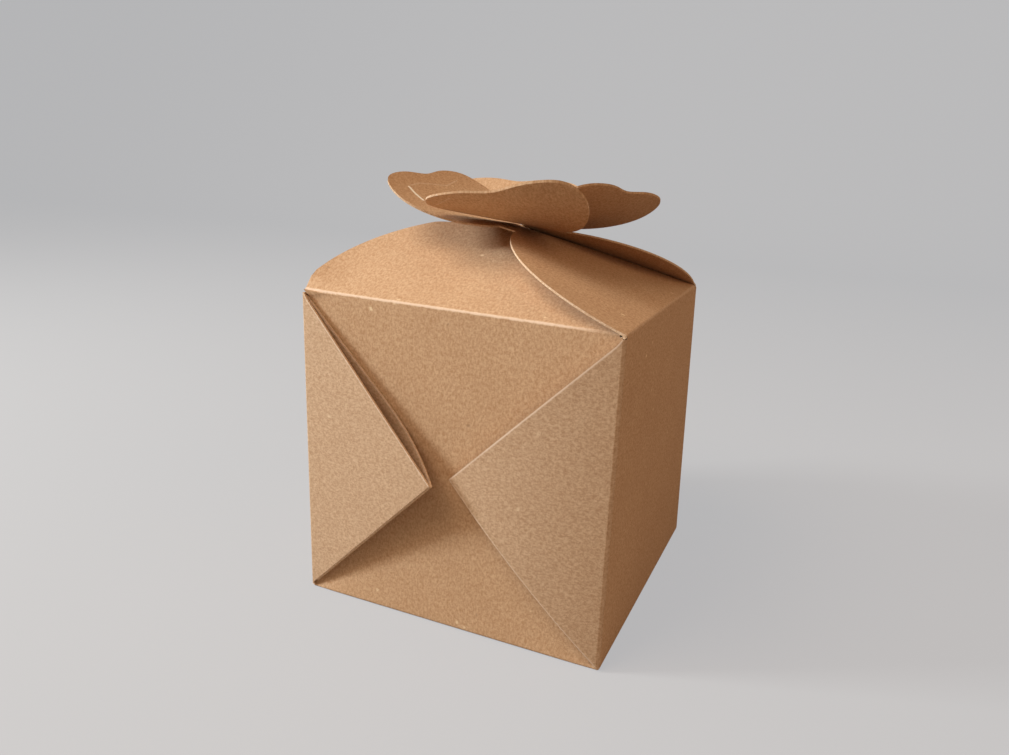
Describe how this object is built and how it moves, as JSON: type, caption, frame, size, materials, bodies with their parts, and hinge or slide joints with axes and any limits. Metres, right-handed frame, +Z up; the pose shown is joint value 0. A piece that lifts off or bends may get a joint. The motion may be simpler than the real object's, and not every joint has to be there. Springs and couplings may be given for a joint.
{
  "type": "petal-top gift box",
  "caption": "Square gift box folded from one sheet of brown card, with folded webs at its corners and a roof of overlapping flaps that end in a flower of petals.",
  "frame": {"origin": "middle of the floor's underside", "axes": "+Z up; +X to the right along the front wall, which has one sprung web; +Y to the back"},
  "size_m": [0.08, 0.086, 0.1088],
  "materials": {
    "kraft_card": "matt uncoated brown kraft card with fine fibres"
  },
  "bodies": {
    "root": {"folded_card": "kraft_card"}
  },
  "joints": []
}
